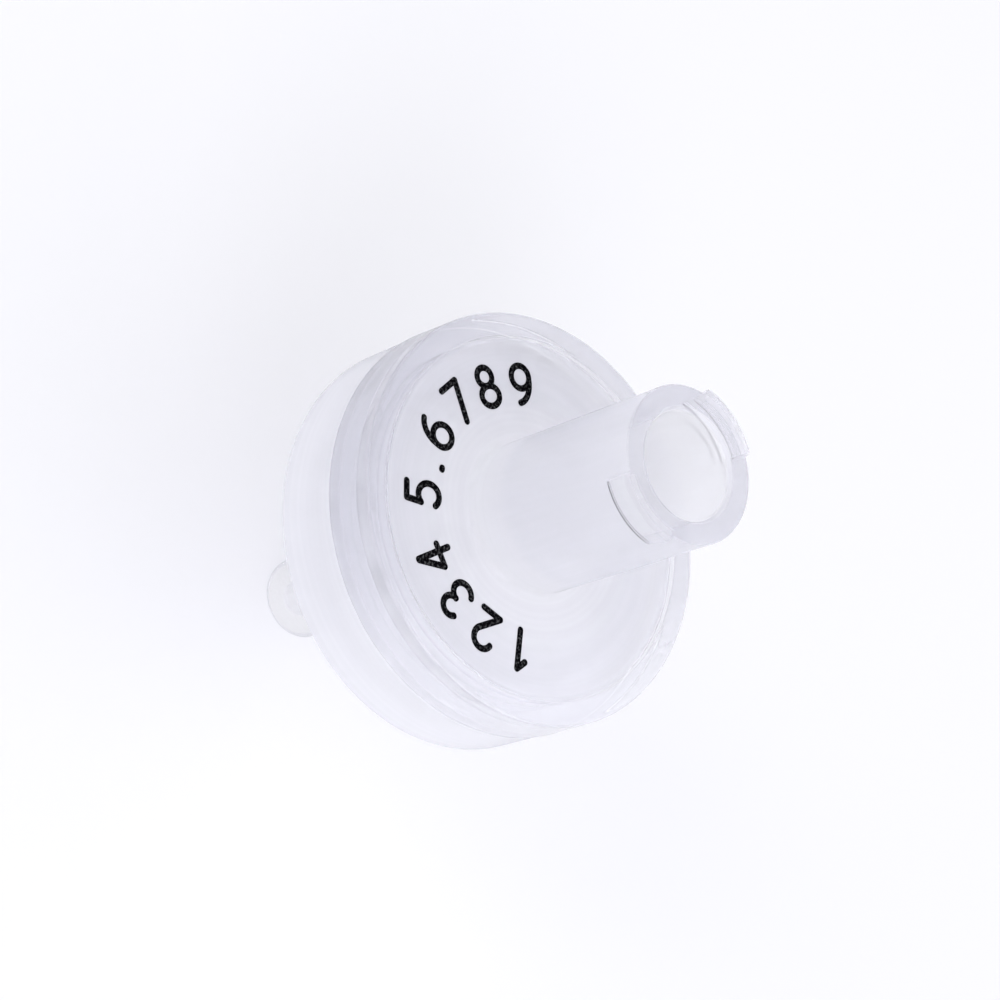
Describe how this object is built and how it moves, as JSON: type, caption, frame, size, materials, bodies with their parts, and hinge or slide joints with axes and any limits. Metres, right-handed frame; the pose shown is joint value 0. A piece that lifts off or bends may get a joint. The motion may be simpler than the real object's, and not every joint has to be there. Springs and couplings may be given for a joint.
{
  "type": "syringe filter",
  "caption": "Round disc filter in a clear plastic housing, with a lugged luer socket on one side, a tapered slip tip on the other and a white membrane between.",
  "frame": {"origin": "centre of the outlet tip's end face", "axes": "+Z along the flow axis, from the outlet tip to the inlet socket; +X through the middle of one luer lug"},
  "size_m": [0.0172, 0.0172, 0.0252],
  "materials": {
    "inlet_plastic": "natural translucent polypropylene, smooth moulded",
    "membrane_sheet": "matt porous sheet",
    "outlet_plastic": "natural translucent polypropylene, smooth moulded",
    "print_ink": "thin black pad-printed ink"
  },
  "bodies": {
    "root": {"inlet_housing": "inlet_plastic", "membrane": "membrane_sheet", "outlet_housing": "outlet_plastic"}
  },
  "joints": []
}
